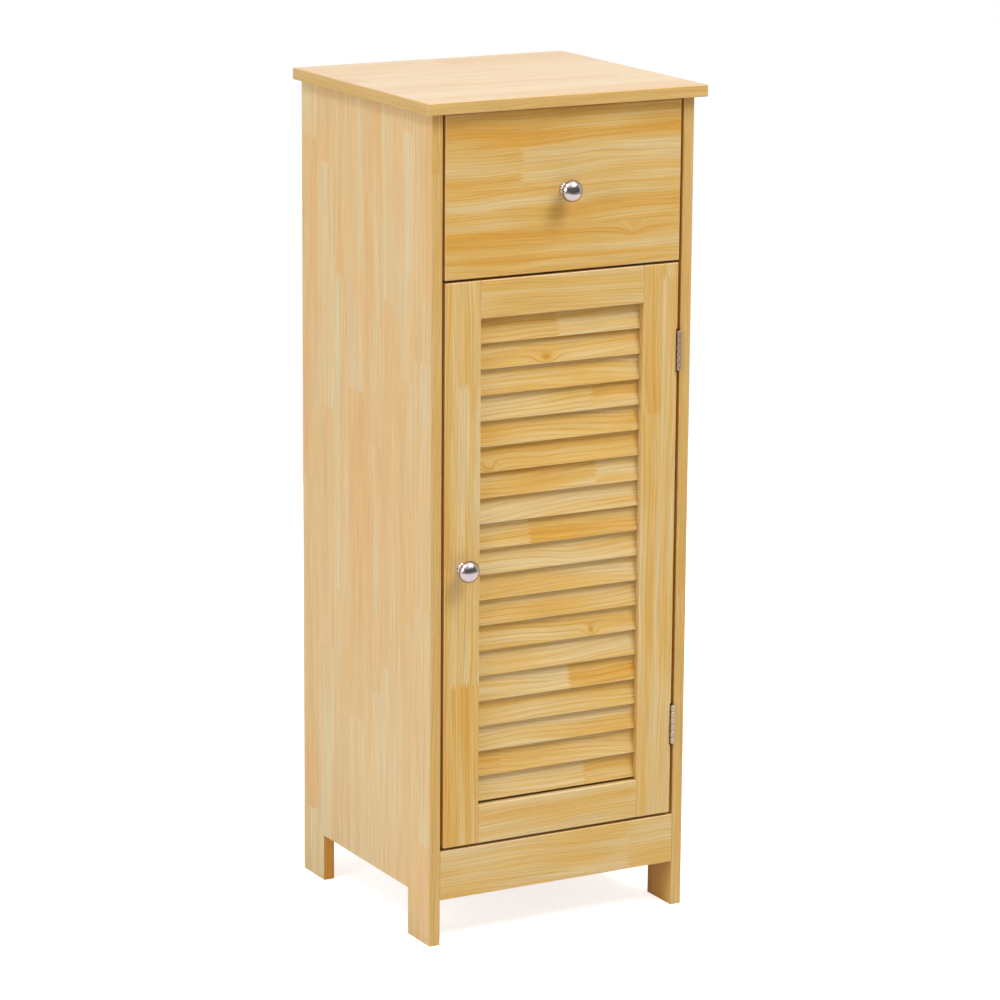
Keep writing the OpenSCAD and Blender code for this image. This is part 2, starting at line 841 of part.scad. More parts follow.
// Space of one slat, grown by a gap. Its lower front edge lies at the slat's height.
module slat_space(i, gap) {
    from = lock_inner - slat_housing + fit_gap - gap;
    len = hinge_inner - lock_inner + 2 * (slat_housing - fit_gap + gap);
    translate([from, slat_recess, slat_z(i)]) rotate([-slat_tilt, 0, 0])
        translate([0, -gap, -gap]) cube([len, slat_t + 2 * gap, slat_w + 2 * gap]);
}

module slat(i) {
    nose = 0.6;
    from = lock_inner - slat_housing + fit_gap;
    len = hinge_inner - lock_inner + 2 * (slat_housing - fit_gap);
    color(slat_pine) place() translate([from, slat_recess, slat_z(i)]) rotate([-slat_tilt, 0, 0])
        across(len) eased_rect(slat_t, slat_w, nose);
}

// Space of a rail's two stub tenons, from its lower and upper edge, grown by a gap.
module tenon_space(z_from, z_to, gap) {
    from = lock_inner - tenon_len - gap;
    len = hinge_inner - lock_inner + 2 * (tenon_len + gap);
    height = z_to - z_from - 2 * tenon_shoulder;
    translate([from, (door_t - tenon_t) / 2 - gap, z_from + tenon_shoulder - gap])
        cube([len, tenon_t + 2 * gap, height + 2 * gap]);
}

// What is cut out of both stiles for the slats and the rails.
module stile_cuts() {
    for (i = [1 : slat_count]) slat_space(i, fit_gap);
    tenon_space(door_foot, opening_foot, fit_gap);
    tenon_space(opening_top, door_top, fit_gap);
}

// Places of the door's small screws, each with +Z pointing out of the screw's head.
module hinge_door_screws() {
    for (z = hinge_foots, dz = [-hinge_screw_dz, hinge_screw_dz])
        translate([hinge_x - knuckle_r + leaf_t, hinge_screw_y, z + hinge_len / 2 + dz])
            rotate([0, 90, 0]) children();
}

module strike_screws() {
    for (dx = [-strike_screw_dx, strike_screw_dx])
        translate([catch_x + dx, door_t + strike_t, divider_foot - catch_h / 2])
            rotate([-90, 0, 0]) children();
}

// Upright of the door on the side of its knob.
module lock_stile() {
    color(pine) place() difference() {
        translate([lock_edge, 0, door_foot]) eased_board(stile_w, door_t, door_h);
        stile_cuts();
        strike_screws() screw_hole(screw_d, screw_len);
        translate([knob_x, -1, door_knob_z]) rotate([-90, 0, 0])
            cylinder(h = door_t + 2, d = knob_screw_d + 2 * hole_gap);
    }
}

// Upright of the door on the side of its hinges, let in for their leaves and knuckles.
module hinge_stile() {
    leaf_seat = hinge_x - knuckle_r;
    color(pine) place() difference() {
        translate([hinge_inner, 0, door_foot]) eased_board(stile_w, door_t, door_h);
        stile_cuts();
        for (z = hinge_foots) translate([leaf_seat, -1, z - mortise_play]) {
            cube([stile_w, leaf_w - pin_proud + 1 + fit_gap, hinge_len + 2 * mortise_play]);
            translate([-knuckle_relief, 0, 0])
                cube([stile_w, 1 + knuckle_r, hinge_len + 2 * mortise_play]);
        }
        hinge_door_screws() screw_hole(screw_d, screw_len);
    }
}

// Cross piece of the door between its stiles, with a stub tenon at each end.
module rail(z_from, z_to) {
    translate([lock_inner, 0, z_from]) eased_board(hinge_inner - lock_inner, door_t, z_to - z_from);
    tenon_space(z_from, z_to, 0);
}

// Its lower edge is rebated at the back, where the highest slat tucks in.
module top_rail() {
    rebate_gap = 0.4;
    rebate_from = slat_recess + slat_pitch * tan(slat_tilt) - rebate_gap - fit_gap;
    color(pine) place() difference() {
        rail(opening_top, door_top);
        translate([lock_inner - 1, rebate_from, opening_top - 1])
            cube([hinge_inner - lock_inner + 2, door_t, slat_overlap + rebate_gap + 1]);
        strike_screws() screw_hole(screw_d, screw_len);
    }
}

module bottom_rail() {
    color(pine) place() rail(door_foot, opening_foot);
}

module door_leaf(foot) {
    difference() {
        translate([hinge_x, hinge_y, foot]) mirror([1, 0, 0]) hinge_leaf(1);
        hinge_door_screws() screw_hole(screw_d, screw_len);
    }
}

module upper_hinge_door_leaf() {
    color(steel) place() door_leaf(hinge_foots[1]);
}

module lower_hinge_door_leaf() {
    color(steel) place() door_leaf(hinge_foots[0]);
}

// One pin through the knuckles of each hinge.
module hinge_pins() {
    proud = 0.4;
    color(steel) place() for (z = hinge_foots)
        translate([hinge_x, hinge_y, z - proud]) cylinder(h = hinge_len + 2 * proud, r = pin_r);
}

module door_screws() {
    color(steel) place() {
        hinge_door_screws() cross_screw(screw_d, screw_len);
        strike_screws() cross_screw(screw_d, screw_len);
    }
}

// Steel plate on the back of the door, which the magnet holds.
module strike_plate() {
    color(steel) place() difference() {
        translate([catch_x - strike_w / 2, door_t, divider_foot - catch_h / 2 - strike_h / 2])
            cube([strike_w, strike_t, strike_h]);
        strike_screws() screw_hole(screw_d, screw_len);
    }
}

left_side_panel();
right_side_panel();
top_panel();
bottom_panel();
drawer_divider();
back_panel();
kick_board();
shelf();
shelf_pins();
cam_bolts();
cam_locks();
dowels();
back_panel_screws();
left_drawer_runner();
right_drawer_runner();
case_screws();
upper_hinge_fixed_leaf();
lower_hinge_fixed_leaf();
magnet_catch();
catch_magnet();
drawer_front();
drawer_left_side();
drawer_right_side();
drawer_back();
drawer_bottom();
drawer_cam_bolts();
drawer_cam_locks();
drawer_screws();
drawer_knob();
drawer_knob_screw();
lock_stile();
hinge_stile();
top_rail();
bottom_rail();
for (i = [1 : slat_count]) slat(i);
door_knob();
door_knob_screw();
upper_hinge_door_leaf();
lower_hinge_door_leaf();
hinge_pins();
door_screws();
strike_plate();
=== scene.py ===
from math import cos, radians, sin

import bpy
import numpy as np
from mathutils import Matrix, Vector


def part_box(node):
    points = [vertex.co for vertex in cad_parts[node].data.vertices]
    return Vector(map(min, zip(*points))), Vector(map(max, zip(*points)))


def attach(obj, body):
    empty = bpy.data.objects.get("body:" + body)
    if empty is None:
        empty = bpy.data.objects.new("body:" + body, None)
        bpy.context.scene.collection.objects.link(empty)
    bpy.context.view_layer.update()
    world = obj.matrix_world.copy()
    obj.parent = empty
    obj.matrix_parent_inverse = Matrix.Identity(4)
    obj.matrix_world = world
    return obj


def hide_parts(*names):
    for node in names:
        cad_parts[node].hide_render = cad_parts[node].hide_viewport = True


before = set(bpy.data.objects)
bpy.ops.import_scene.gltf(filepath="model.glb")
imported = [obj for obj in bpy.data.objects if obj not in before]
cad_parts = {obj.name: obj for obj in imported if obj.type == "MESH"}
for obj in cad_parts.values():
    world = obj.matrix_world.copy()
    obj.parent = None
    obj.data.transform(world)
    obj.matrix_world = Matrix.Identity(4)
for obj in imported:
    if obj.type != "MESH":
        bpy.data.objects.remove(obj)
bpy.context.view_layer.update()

scene = bpy.context.scene
scene.view_settings.view_transform = "Standard"


# Camera
# A long lens looks at the cupboard from the left, a little above its top,
# from where the edges of the boards fall as in the photograph.
LENS_MM = 150.70
SENSOR_MM = 36
SIGHT = 100
EYE = Vector((-2.0544, -3.7254, 1.4401))
YAW = radians(-28.902)
PITCH = radians(-13.406)
ROLL = radians(0.420)

ahead = Vector((-sin(YAW) * cos(PITCH), cos(YAW) * cos(PITCH), sin(PITCH)))
level = Vector((cos(YAW), sin(YAW), 0))
upright = level.cross(ahead)
right = level * cos(ROLL) + upright * sin(ROLL)
above = upright * cos(ROLL) - level * sin(ROLL)

lens = bpy.data.cameras.new("camera")
lens.lens = LENS_MM
lens.sensor_fit = "HORIZONTAL"
lens.sensor_width = SENSOR_MM
lens.clip_end = SIGHT
camera = bpy.data.objects.new("camera", lens)
camera.matrix_world = Matrix((
    (right.x, above.x, -ahead.x, EYE.x),
    (right.y, above.y, -ahead.y, EYE.y),
    (right.z, above.z, -ahead.z, EYE.z),
    (0, 0, 0, 1),
))
scene.collection.objects.link(camera)
scene.camera = camera


# Studio
# A white sweep of floor, a broad lamp high in front on the right, two weaker ones on
# the left, and soft warm light from all round. The room in front is dim, as metal shows.
def put(tree, kind, inputs=None, **settings):
    """Adds a node. inputs gives a value or another node's socket for each of its sockets."""
    made = tree.nodes.new("ShaderNode" + kind)
    for name, value in settings.items():
        setattr(made, name, value)
    for key, value in (inputs or {}).items():
        if isinstance(value, bpy.types.NodeSocket):
            tree.links.new(value, made.inputs[key])
        else:
            made.inputs[key].default_value = value
    return made


def calc(tree, operation, *terms, clamp=False):
    """One step of arithmetic on numbers or sockets."""
    return put(tree, "Math", dict(enumerate(terms)), operation=operation, use_clamp=clamp).outputs[0]


def ramp(tree, value, start, slope):
    """0 up to start, and from there up to 1 at the given slope. A negative slope runs downwards."""
    return calc(tree, "MULTIPLY", calc(tree, "SUBTRACT", value, start), slope, clamp=True)


def parts_of(tree, vector):
    """The three numbers of a vector."""
    return put(tree, "SeparateXYZ", {0: vector}).outputs


# Strengths of the light from all round, and of what metal mirrors: the walls, the ceiling
# and the dim room in front
AROUND = 0.54
WARMTH = (1.0, 0.87, 0.66, 1)
WHITE = (1, 1, 1, 1)
BACKDROP = 1.0
OVERHEAD = 2.0
DUSK = 0.16
# Heights and depth of a direction at which these begin, with how sharply
DUSK_HEIGHT = (0.62, -6.0)
DUSK_DEPTH = (-0.25, -4.0)
OVERHEAD_HEIGHT = (0.70, 5.0)

world = bpy.data.worlds.new("studio")
scene.world = world
world.use_nodes = True
sky = world.node_tree
sky.nodes.clear()
ray = put(sky, "LightPath").outputs
heading = parts_of(sky, put(sky, "TexCoord").outputs["Generated"])
dim = calc(sky, "MULTIPLY", ramp(sky, heading[2], *DUSK_HEIGHT), ramp(sky, heading[1], *DUSK_DEPTH))
mirrored = calc(sky, "MULTIPLY_ADD", dim, DUSK - BACKDROP, BACKDROP)
mirrored = calc(sky, "MULTIPLY_ADD", ramp(sky, heading[2], *OVERHEAD_HEIGHT), OVERHEAD - BACKDROP, mirrored)
more = calc(sky, "MULTIPLY", ray["Is Glossy Ray"], calc(sky, "SUBTRACT", mirrored, AROUND))
light = calc(sky, "ADD", AROUND, more)
shown = calc(sky, "MAXIMUM", ray["Is Camera Ray"], ray["Is Transmission Ray"])
strength = calc(sky, "ADD", calc(sky, "MULTIPLY", light, calc(sky, "SUBTRACT", 1.0, shown)), shown)
plain = calc(sky, "MAXIMUM", shown, ray["Is Glossy Ray"])
hue = put(sky, "Mix", {0: plain, 6: WARMTH, 7: WHITE}, data_type="RGBA").outputs[2]
background = put(sky, "Background", {"Color": hue, "Strength": strength})
put(sky, "OutputWorld", {"Surface": background.outputs[0]})

LIT = (0, 0, 0.45)


def lamp(name, place, across, watts):
    """A round soft box that faces the middle of the cupboard."""
    made = bpy.data.lights.new(name, "AREA")
    made.shape = "DISK"
    made.size = across
    made.energy = watts
    holder = bpy.data.objects.new(name, made)
    facing = (Vector(LIT) - Vector(place)).to_track_quat("-Z", "Y")
    holder.matrix_world = Matrix.Translation(place) @ facing.to_matrix().to_4x4()
    scene.collection.objects.link(holder)


lamp("high_lamp", (1.3, -2.25, 3.95), across=2.0, watts=131)
lamp("left_lamp", (-3.6, -0.9, 1.7), across=2.0, watts=40)
lamp("high_left_lamp", (-2.3, -0.6, 3.7), across=1.0, watts=42)

FLOOR_REACH = 1.8
FLOOR_PAINT = (0.68, 0.70, 0.75, 1)
FLOOR_GLOW = 0.76
floor_mesh = bpy.data.meshes.new("floor")
corners = [(-FLOOR_REACH, -FLOOR_REACH, 0), (FLOOR_REACH, -FLOOR_REACH, 0),
           (FLOOR_REACH, FLOOR_REACH, 0), (-FLOOR_REACH, FLOOR_REACH, 0)]
floor_mesh.from_pydata(corners, [], [(0, 1, 2, 3)])
floor = bpy.data.objects.new("floor", floor_mesh)
scene.collection.objects.link(floor)

floor_paint = bpy.data.materials.new("floor")
floor_paint.use_nodes = True
tree = floor_paint.node_tree
tree.nodes.clear()
ray = put(tree, "LightPath").outputs
shown = calc(tree, "MAXIMUM", ray["Is Camera Ray"], ray["Is Transmission Ray"])
plain = calc(tree, "MAXIMUM", shown, ray["Is Glossy Ray"])
glow = put(tree, "Emission", {"Strength": calc(tree, "MULTIPLY", plain, FLOOR_GLOW)})
matt = put(tree, "BsdfDiffuse", {"Color": FLOOR_PAINT})
both = put(tree, "AddShader", {0: glow.outputs[0], 1: matt.outputs[0]})
put(tree, "OutputMaterial", {"Surface": both.outputs[0]})
floor_mesh.materials.append(floor_paint)


# Side panels and top
# 12 mm boards wrapped in pine foil: staves side by side, finger-jointed end to end, golden
# along the edges. The faces that show are paler, which is painted sheen, and the inner faces
# a deeper orange, which is painted warm shade. Cam locks and dowels join them.
def spread(tree, x, y, z=0.0):
    """Joins three numbers into a vector."""
    return put(tree, "CombineXYZ", {0: x, 1: y, 2: z}).outputs[0]


def blend(tree, factor, under, over, kind="MIX"):
    """Mixes two colours."""
    made = put(tree, "Mix", {0: factor, 6: under, 7: over}, data_type="RGBA", blend_type=kind)
    return made.outputs[2]


def clouds(tree, vector, detail=2.0, roughness=0.5):
    """Soft noise between 0 and 1 in the given space."""
    inputs = {"Vector": vector, "Scale": 1.0, "Detail": detail, "Roughness": roughness}
    return put(tree, "TexNoise", inputs).outputs["Fac"]


def node_group(name, takes, gives):
    """An empty shader group with its named inputs (kind, value) and outputs (kind)."""
    made = bpy.data.node_groups.new(name, "ShaderNodeTree")
    for label, (kind, value) in takes.items():
        socket = made.interface.new_socket(label, in_out="INPUT", socket_type="NodeSocket" + kind)
        socket.default_value = value
    for label, kind in gives.items():
        made.interface.new_socket(label, in_out="OUTPUT", socket_type="NodeSocket" + kind)
    return made, made.nodes.new("NodeGroupInput").outputs, made.nodes.new("NodeGroupOutput").inputs


def new_material(name):
    """A material with its Principled shader, and the two as (material, tree, shader)."""
    made = bpy.data.materials.new(name)
    made.use_nodes = True
    return made, made.node_tree, made.node_tree.nodes["Principled BSDF"]


def paint(material, *nodes):
    """Gives CAD nodes a material in place of the plain one that they were loaded with."""
    for name in nodes:
        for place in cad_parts[name].material_slots:
            place.material = material


def srgb(red, green, blue):
    """A display colour as the numbers that a shader takes."""
    parts = np.array([red, green, blue]) / 255
    return (*np.where(parts <= 0.04045, parts / 12.92, ((parts + 0.055) / 1.055) ** 2.4), 1)


# Parts of a unit normal: past the first a surface lies flat, and with none past the second
# it is an eased edge
FLAT = 0.75
EASED = 0.85


def foil_layout():
    """Where a point of a board lies on its foil, in metres: x runs along the grain, and y across
    it. The ends of a board have the grain along their long side. Place comes as (along the grain,
    across the board, height over its shown face), and Normal the same way. Face is 1 on the shown
    face, Back is 1 on the one behind it, and Arris is 1 on the narrow eased edges."""
    made, take, give = node_group(
        "foil layout",
        {"Place": ("Vector", (0, 0, 0)), "Normal": ("Vector", (0, 0, 1))},
        {"Foil": "Vector", "Face": "Float", "Back": "Float", "Arris": "Float"})
    along, across, through = parts_of(made, take["Place"])
    turned = parts_of(made, take["Normal"])
    facing = [calc(made, "ABSOLUTE", part) for part in turned]
    end = calc(made, "GREATER_THAN", facing[0], FLAT)
    swap = calc(made, "MULTIPLY", end, calc(made, "SUBTRACT", across, along))
    x = calc(made, "ADD", along, swap)
    y = calc(made, "ADD", calc(made, "SUBTRACT", across, swap), through)
    most = calc(made, "MAXIMUM", calc(made, "MAXIMUM", facing[0], facing[1]), facing[2])
    made.links.new(spread(made, x, y), give["Foil"])
    made.links.new(calc(made, "GREATER_THAN", turned[2], FLAT), give["Face"])
    made.links.new(calc(made, "LESS_THAN", turned[2], -FLAT), give["Back"])
    made.links.new(calc(made, "LESS_THAN", most, EASED), give["Arris"])
    return made


# The staves' own sizes and tones. First the steps of each noise to the millimetre, along the
# grain and across it
BENDS = (0.0065, 0.017)
BROAD_BANDS = (0.0026, 0.075)
NARROW_BANDS = (0.0045, 0.30)
PATCHES = (0.008, 0.03)
HAIRS = (0.010, 0.9)
# How far the chance of a length of stave moves its noise, along the grain and across it
MOVES = (97.0, 89.0)
# A stave's shortest length and their spread, as shares of the usual length
SHORTEST = 0.7
LENGTH_SPREAD = 0.6
# Millimetres: half the pitch of the fingers, and how far the staves' joints are scattered
FINGER_WIDTH = 1.7
SCATTER = 2900.0
# Rings to the millimetre, how far the broad bands shift them, how narrow late wood is, at which
# value of the patches it sets in and how fast, and how much stronger it is at a knot
RINGS = 0.26
RING_SHIFT = 2.6
LATE_SHARPNESS = 6.0
LATE_START = 0.25
LATE_SLOPE = 3.0
LATE_AT_KNOT = 2.0
# Tones of the bands, of late wood and of a knot's heart, and how small the heart is
BROAD_TONE = 2.3
NARROW_TONE = 1.3
PATCH_TONE = 1.4
LATE_TONE = 0.16
HEART_TONE = 0.25
HEART_SHARPNESS = 4.0
LATE_WOOD = (0.88, 0.80, 0.58, 1)
# Lean of a stave's grain, relief of its hairs and of late wood, and the foil's polish with its
# spread
LEAN = 0.05
HAIR_RELIEF = 0.6
LATE_RELIEF = 0.4
POLISH = 0.42
POLISH_SPREAD = 0.14
# A place far from every board, for joints and knots that aren't there
NOWHERE = (9999.0, 9999.0, 0.0)


def pine_figure():
    """Printed pine, in mm on the foil: u runs along the grain and v across it. Each stave has its
    own tone, and is jointed to the next with short fingers. Soft bands, streaks and late-wood
    lines run along the grain, bent by slow noise and round the knot. A tone of 0 is orange, 0.5
    golden and 1 pale. A joint comes as (u where it starts, stave, change of tone past it), and
    the knot as (u, v, how far it bends the grain), with its reach along the grain and across."""
    made, take, give = node_group(
        "pine figure",
        {"Foil": ("Vector", (0, 0, 0)), "Stave Width": ("Float", 41.4), "Stave Length": ("Float", 380.0),
         "Finger": ("Float", 7.0), "Swirl": ("Float", 12.0), "Stave Contrast": ("Float", 0.8),
         "Streak Contrast": ("Float", 0.75), "Line Contrast": ("Float", 1.0), "Fibre": ("Float", 0.75),
         "Tone": ("Float", 0.5), "Seed": ("Float", 0.0), "Joint": ("Vector", NOWHERE),
         "Next Joint": ("Vector", NOWHERE), "Knot": ("Vector", NOWHERE),
         "Knot Size": ("Vector", (9.0, 5.0, 0.0)), "Orange": ("Color", (0.6, 0.35, 0.06, 1)),
         "Golden": ("Color", (0.7, 0.45, 0.12, 1)), "Pale": ("Color", (0.7, 0.5, 0.2, 1))},
        {"Color": "Color", "Height": "Float", "Roughness": "Float"})

    def plus(first, second):
        return calc(made, "ADD", first, second)

    def minus(first, second, clamp=False):
        return calc(made, "SUBTRACT", first, second, clamp=clamp)

    def times(first, second, clamp=False):
        return calc(made, "MULTIPLY", first, second, clamp=clamp)

    def over(first, second):
        return calc(made, "DIVIDE", first, second)

    def times_plus(first, second, third, clamp=False):
        return calc(made, "MULTIPLY_ADD", first, second, third, clamp=clamp)

    def centred(chance, amount):
        return times(minus(chance, 0.5), amount)

    def floored(value):
        return calc(made, "FLOOR", value)

    seed = take["Seed"]
    metres = parts_of(made, take["Foil"])
    u = times(metres[0], 1000.0)
    v = times(metres[1], 1000.0)

    # Which stave, and which length of it: past a joint it is another one
    row = floored(over(v, take["Stave Width"]))
    row_chance = put(made, "TexWhiteNoise", {"Vector": spread(made, row, seed)}).outputs["Value"]
    length = times(take["Stave Length"], times_plus(row_chance, LENGTH_SPREAD, SHORTEST))
    comb = minus(over(calc(made, "PINGPONG", v, FINGER_WIDTH), FINGER_WIDTH), 0.5)
    fingered = times_plus(comb, take["Finger"], u)
    piece = floored(over(times_plus(row_chance, SCATTER, fingered), length))
    jump = 0.0
    for label, step in (("Joint", 7.0), ("Next Joint", 13.0)):
        start, stave, change = parts_of(made, take[label])
        past = times(calc(made, "GREATER_THAN", fingered, start), calc(made, "COMPARE", row, stave, 0.5))
        piece = times_plus(past, step, piece)
        jump = times_plus(past, change, jump)
    chance = put(made, "TexWhiteNoise", {"Vector": spread(made, row, piece, seed)}).outputs
    r, g, b = parts_of(made, chance["Color"])

    # The knot bends the grain of its own stave
    knot_u, knot_v, knot_bend = parts_of(made, take["Knot"])
    knot_long, knot_wide, _ = parts_of(made, take["Knot Size"])
    away_u = over(minus(u, knot_u), knot_long)
    away_v = over(minus(v, knot_v), knot_wide)
    away = plus(times(away_u, away_u), times(away_v, away_v))
    knot_row = floored(over(minus(knot_v, 0.5), take["Stave Width"]))
    knot = times(calc(made, "EXPONENT", times(away, -1.0)), calc(made, "COMPARE", row, knot_row, 0.5))

    def drawn_out(steps, across, layer, detail, roughness=0.5):
        """Noise that runs along the grain, with its own place on each length of stave."""
        first = times_plus(u, steps[0], times(r, MOVES[0]))
        second = times_plus(across, steps[1], times(g, MOVES[1]))
        return clouds(made, spread(made, first, second, plus(seed, layer)), detail, roughness)

    # Grain lines bend and lean a little, and the bands follow them
    bend = drawn_out(BENDS, v, 0.0, 1.5)
    lean = times(centred(b, LEAN), u)
    bent = plus(times_plus(minus(bend, 0.5), take["Swirl"], v), lean)
    bent = times_plus(knot, knot_bend, bent)
    broad = drawn_out(BROAD_BANDS, bent, 11.0, 1.5)
    narrow = drawn_out(NARROW_BANDS, bent, 23.0, 2.0, 0.6)
    patch = drawn_out(PATCHES, v, 37.0, 1.0)
    hair = drawn_out(HAIRS, bent, 41.0, 3.0, 0.8)

    # Late wood darkens slowly across each ring, then stops short
    ring = calc(made, "FRACT", times_plus(bent, RINGS, times(broad, RING_SHIFT)))
    fade = times_plus(knot, LATE_AT_KNOT, ramp(made, patch, LATE_START, LATE_SLOPE))
    line = times(calc(made, "POWER", ring, LATE_SHARPNESS), fade)
    dark = times(line, take["Line Contrast"])

    tone = times_plus(minus(chance["Value"], 0.5), take["Stave Contrast"], plus(take["Tone"], jump))
    bands = plus(plus(centred(broad, BROAD_TONE), centred(narrow, NARROW_TONE)), centred(patch, PATCH_TONE))
    tone = plus(tone, times(bands, take["Streak Contrast"]))
    tone = minus(tone, times(dark, LATE_TONE))
    heart = calc(made, "POWER", knot, HEART_SHARPNESS)
    tone = minus(tone, times(heart, HEART_TONE), clamp=True)

    lower = times(tone, 2.0, clamp=True)
    upper = times_plus(tone, 2.0, -1.0, clamp=True)
    colour = blend(made, upper, blend(made, lower, take["Orange"], take["Golden"]), take["Pale"])
    fleck = times_plus(minus(hair, 0.5), take["Fibre"], 1.0)
    colour = blend(made, 1.0, colour, spread(made, fleck, fleck, fleck), "MULTIPLY")
    colour = blend(made, dark, colour, blend(made, 1.0, colour, LATE_WOOD, "MULTIPLY"))

    made.links.new(colour, give["Color"])
    made.links.new(minus(times(hair, HAIR_RELIEF), times(line, LATE_RELIEF)), give["Height"])
    made.links.new(times_plus(minus(narrow, 0.5), POLISH_SPREAD, POLISH), give["Roughness"])
    return made


LAYOUT = foil_layout()
FIGURE = pine_figure()
TONES = ("Orange", "Golden", "Pale")
GOLDEN_TINTS = [srgb(202, 154, 72), srgb(206, 171, 103), srgb(209, 187, 141)]
EDGE_TINTS = [srgb(196, 156, 85), srgb(200, 165, 101), srgb(204, 174, 119)]
# A deeper orange for the faces behind the shown ones: painted warm shade, as inside the case and on the
# inner faces of the legs
INNER_SHADE_TINTS = [srgb(203, 145, 60), srgb(207, 156, 76), srgb(211, 168, 94)]
# Paler tints for the shown faces of the sides, and paler still for the top: painted sheen, the bright room
# that these faces catch at a slant
SIDE_SHEEN_TINTS = [srgb(215, 178, 125), srgb(215, 187, 141), srgb(215, 198, 161)]
TOP_SHEEN_TINTS = [srgb(204, 177, 144), srgb(208, 187, 158), srgb(211, 195, 172)]
# Pale pink for the eased edges: a painted highlight, where these narrow edges catch the light
ARRIS_HIGHLIGHT = srgb(232, 200, 166)
FOIL_SHINE = 0.15
GRAIN_RELIEF = 0.12
GRAIN_DEPTH = 0.0004


def pine(name, grain, shown=1, face=GOLDEN_TINTS, edges=GOLDEN_TINTS, back=INNER_SHADE_TINTS,
         origin=(0, 0, 0), wear=0.35, **figure):
    """Pine foil on a board. grain names the board's axes: along the grain, across it and through
    the board, and shown is the side of the last on which its shown face lies. origin is a corner
    of the staves on that face, the argument after it is how strong a painted highlight the eased
    edges get, and figure sets the figure's own values."""
    made, tree, shader = new_material(name)
    coords = put(tree, "TexCoord").outputs
    placed = put(tree, "VectorMath", {0: coords["Object"], 1: origin}, operation="SUBTRACT").outputs[0]
    at = parts_of(tree, placed)
    faced = parts_of(tree, coords["Normal"])
    along, across, through = ("xyz".index(letter) for letter in grain)
    layout = put(tree, "Group", node_tree=LAYOUT)
    height = calc(tree, "MULTIPLY", at[through], float(shown))
    tree.links.new(spread(tree, at[along], at[across], height), layout.inputs["Place"])
    outward = calc(tree, "MULTIPLY", faced[through], float(shown))
    tree.links.new(spread(tree, faced[along], faced[across], outward), layout.inputs["Normal"])
    grained = put(tree, "Group", node_tree=FIGURE)
    for key, value in figure.items():
        grained.inputs[key.replace("_", " ").title()].default_value = value
    # The faces behind the shown ones take the deeper orange of painted shade
    for tone, outer, rim, inner in zip(TONES, face, edges, back):
        hidden = blend(tree, layout.outputs["Back"], rim, inner)
        tree.links.new(blend(tree, layout.outputs["Face"], hidden, outer), grained.inputs[tone])
    tree.links.new(layout.outputs["Foil"], grained.inputs["Foil"])
    # Painted highlight: the eased edges are mixed towards the pale pink, more on some boards than others
    highlight_share = calc(tree, "MULTIPLY", layout.outputs["Arris"], wear)
    highlighted = blend(tree, highlight_share, grained.outputs["Color"], ARRIS_HIGHLIGHT)
    relief = {"Height": grained.outputs["Height"], "Strength": GRAIN_RELIEF, "Distance": GRAIN_DEPTH}
    bump = put(tree, "Bump", relief)
    shader.inputs["Specular IOR Level"].default_value = FOIL_SHINE
    tree.links.new(highlighted, shader.inputs["Base Color"])
    tree.links.new(grained.outputs["Roughness"], shader.inputs["Roughness"])
    tree.links.new(bump.outputs[0], shader.inputs["Normal"])
    return made


# The cut between the legs of a side, from front to back, and the band round its edges, whose colour also
# paints in warm light bounced into the cut's shade
NOTCH_MIDDLE = 0.0115
NOTCH_HALF = 0.0975
NOTCH_TOP = 0.0505
NOTCH_BAND_AND_BOUNCE = (1.38, 1.02, 0.56, 1)


def with_notch_bounce(material):
    """The square cut at the foot of a side has its own band round its edges, of a deeper, redder orange,
    which is also painted warm light bounced into the shade of the cut.
    """
    tree = material.node_tree
    colour = tree.nodes["Principled BSDF"].inputs["Base Color"]
    coords = put(tree, "TexCoord").outputs
    _, y, z = parts_of(tree, coords["Object"])
    sideways = calc(tree, "ABSOLUTE", parts_of(tree, coords["Normal"])[0])
    between_legs = calc(tree, "COMPARE", y, NOTCH_MIDDLE, NOTCH_HALF)
    cut = calc(tree, "MULTIPLY", between_legs, calc(tree, "LESS_THAN", z, NOTCH_TOP))
    edge = calc(tree, "SUBTRACT", 1.0, calc(tree, "GREATER_THAN", sideways, FLAT))
    foil = colour.links[0].from_socket
    # Painted light: the red is raised and the blue lowered on the cut's edges, as warm bounced light in its
    # shade
    tree.links.new(blend(tree, calc(tree, "MULTIPLY", cut, edge), foil, NOTCH_BAND_AND_BOUNCE, "MULTIPLY"), colour)
    return material


CASE_HALF = 0.150
FRONT = -0.1335
TOP_FRONT = -0.1435
TOP = 0.870
# The sides' shown faces take the paler tints of painted sheen
side_figure = {"face": SIDE_SHEEN_TINTS, "edges": EDGE_TINTS, "stave_width": 36.2, "stave_length": 300.0,
               "finger": 4.0, "stave_contrast": 0.5, "streak_contrast": 0.7, "fibre": 0.9, "wear": 0.1}
left_side = pine("left_side_foil", "zyx", -1, origin=(-CASE_HALF, FRONT, 0), seed=3.0, **side_figure)
right_side = pine("right_side_foil", "zyx", 1, origin=(CASE_HALF, FRONT, 0), seed=8.0, **side_figure)
paint(with_notch_bounce(left_side), "left_side_panel")
paint(with_notch_bounce(right_side), "right_side_panel")
# The top's face takes the tints of painted sheen
paint(pine("top_foil", "xyz", 1, face=TOP_SHEEN_TINTS, edges=EDGE_TINTS, origin=(0, TOP_FRONT, TOP), wear=0.3,
           seed=5.0, stave_length=900.0, streak_contrast=0.6, line_contrast=0.8, fibre=0.8), "top_panel")


# Fronts
# The drawer front, the door's frame and the kick board are wrapped in the same foil. The
# grain runs up the stiles and across everything else. Tenons hold the door's frame
# together, dowels hold the kick board, and cam locks the drawer front.
ONE_PIECE = 5000.0
